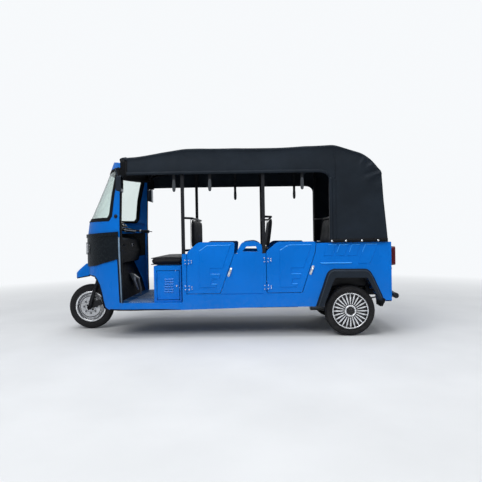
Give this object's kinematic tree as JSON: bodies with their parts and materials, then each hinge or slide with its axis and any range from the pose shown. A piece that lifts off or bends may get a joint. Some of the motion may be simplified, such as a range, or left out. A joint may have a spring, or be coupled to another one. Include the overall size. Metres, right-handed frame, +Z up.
{
  "type": "electric passenger tricycle",
  "caption": "Electric passenger tricycle with a curved cab front, open sides with half doors, bench seats and a fabric canopy.",
  "frame": {"origin": "on the ground, under the middle of the vehicle's overall length and width", "axes": "+X towards the rear, +Y towards the vehicle's right side, +Z up"},
  "size_m": [3.5319, 1.486, 1.927],
  "materials": {
    "blue_paint": "gloss",
    "frame_black": "satin",
    "canopy_fabric": "matt",
    "seat_vinyl": "satin",
    "webbing": "matt",
    "black_gloss": "gloss",
    "black_plastic": "matt",
    "seal_rubber": "matt",
    "tyre_rubber": "matt",
    "rim_alloy": "satin",
    "rim_black": "gloss",
    "trim_silver": "polished",
    "floor_tread": "checkered",
    "cast_metal": "cast",
    "steel_dark": "satin",
    "glass_clear": "clear",
    "window_vinyl": "clear",
    "lamp_clear": "clear",
    "lamp_red": "gloss",
    "battery_case": "matt"
  },
  "bodies": {
    "root": {"main_rails": "frame_black", "cross_members": "frame_black", "steering_neck": "frame_black", "rear_axle": "steel_dark", "drive_motor": "cast_metal", "leaf_springs": "steel_dark", "floor_pan": "floor_tread", "front_cowl": "blue_paint", "lamp_band": "black_gloss", "front_shield": "blue_paint", "headlamps": "lamp_clear", "cab_frame": "blue_paint", "windscreen_seal": "seal_rubber", "windscreen": "glass_clear", "dashboard": "black_plastic", "side_panels_front": "blue_paint", "side_panels_rear": "blue_paint", "rear_quarters": "blue_paint", "wheel_flares": "black_plastic", "wheel_houses": "frame_black", "rear_panel": "blue_paint", "tail_lamps": "lamp_red", "rear_bumper": "frame_black", "driver_seat_box": "blue_paint", "driver_cushion": "seat_vinyl", "bench_boxes": "blue_paint", "bench_cushions": "seat_vinyl", "battery_pack": "battery_case", "roof_rails": "frame_black", "roof_poles": "frame_black", "roof_hoops": "frame_black", "canopy": "canopy_fabric", "backrests": "seat_vinyl", "backrest_tubes": "frame_black", "hanging_straps": "webbing", "mirrors": "black_plastic", "brake_pedal": "cast_metal", "door_latches": "trim_silver", "rear_window": "window_vinyl"},
    "steering": {"fork": "frame_black", "handlebar": "frame_black", "grips": "black_plastic", "instrument_pod": "black_plastic", "levers": "cast_metal", "brake_caliper": "cast_metal"},
    "front_wheel": {"front_rim": "rim_alloy", "front_tyre": "tyre_rubber", "brake_disc": "rim_alloy"},
    "rear_wheel_left": {"rear_tyre_left": "tyre_rubber", "rear_rim_left": "rim_black", "rear_trim_left": "trim_silver"},
    "rear_wheel_right": {"rear_tyre_right": "tyre_rubber", "rear_rim_right": "rim_black", "rear_trim_right": "trim_silver"},
    "door_front_left": {"door_front_left": "blue_paint"},
    "door_front_right": {"door_front_right": "blue_paint"},
    "door_rear_left": {"door_rear_left": "blue_paint"},
    "door_rear_right": {"door_rear_right": "blue_paint"},
    "locker_door_left": {"locker_door_left": "blue_paint"},
    "locker_door_right": {"locker_door_right": "blue_paint"}
  },
  "joints": [
    {"name": "steer", "type": "hinge", "parent": "root", "child": "steering", "pos_m": [-1.478, 0, 0.248], "axis": [0.309, 0, 0.9511], "range_deg": [-40, 40]},
    {"name": "front_wheel_spin", "type": "hinge", "parent": "steering", "child": "front_wheel", "pos_m": [-1.518, 0, 0.248], "axis": [0, 1, 0], "continuous": true},
    {"name": "rear_wheel_left_spin", "type": "hinge", "parent": "root", "child": "rear_wheel_left", "pos_m": [1.252, -0.54, 0.248], "axis": [0, 1, 0], "continuous": true},
    {"name": "rear_wheel_right_spin", "type": "hinge", "parent": "root", "child": "rear_wheel_right", "pos_m": [1.252, 0.54, 0.248], "axis": [0, 1, 0], "continuous": true},
    {"name": "door_front_left_hinge", "type": "hinge", "parent": "root", "child": "door_front_left", "pos_m": [-0.354, -0.627, 0.655], "axis": [0, 0, -1], "range_deg": [0, 70]},
    {"name": "door_front_right_hinge", "type": "hinge", "parent": "root", "child": "door_front_right", "pos_m": [-0.354, 0.627, 0.655], "axis": [0, 0, 1], "range_deg": [0, 70]},
    {"name": "door_rear_left_hinge", "type": "hinge", "parent": "root", "child": "door_rear_left", "pos_m": [0.429, -0.627, 0.655], "axis": [0, 0, -1], "range_deg": [0, 70]},
    {"name": "door_rear_right_hinge", "type": "hinge", "parent": "root", "child": "door_rear_right", "pos_m": [0.429, 0.627, 0.655], "axis": [0, 0, 1], "range_deg": [0, 70]},
    {"name": "locker_left_hinge", "type": "hinge", "parent": "root", "child": "locker_door_left", "pos_m": [-0.6645, -0.577, 0.525], "axis": [0, 0, -1], "range_deg": [0, 95]},
    {"name": "locker_right_hinge", "type": "hinge", "parent": "root", "child": "locker_door_right", "pos_m": [-0.6645, 0.577, 0.525], "axis": [0, 0, 1], "range_deg": [0, 95]}
  ]
}
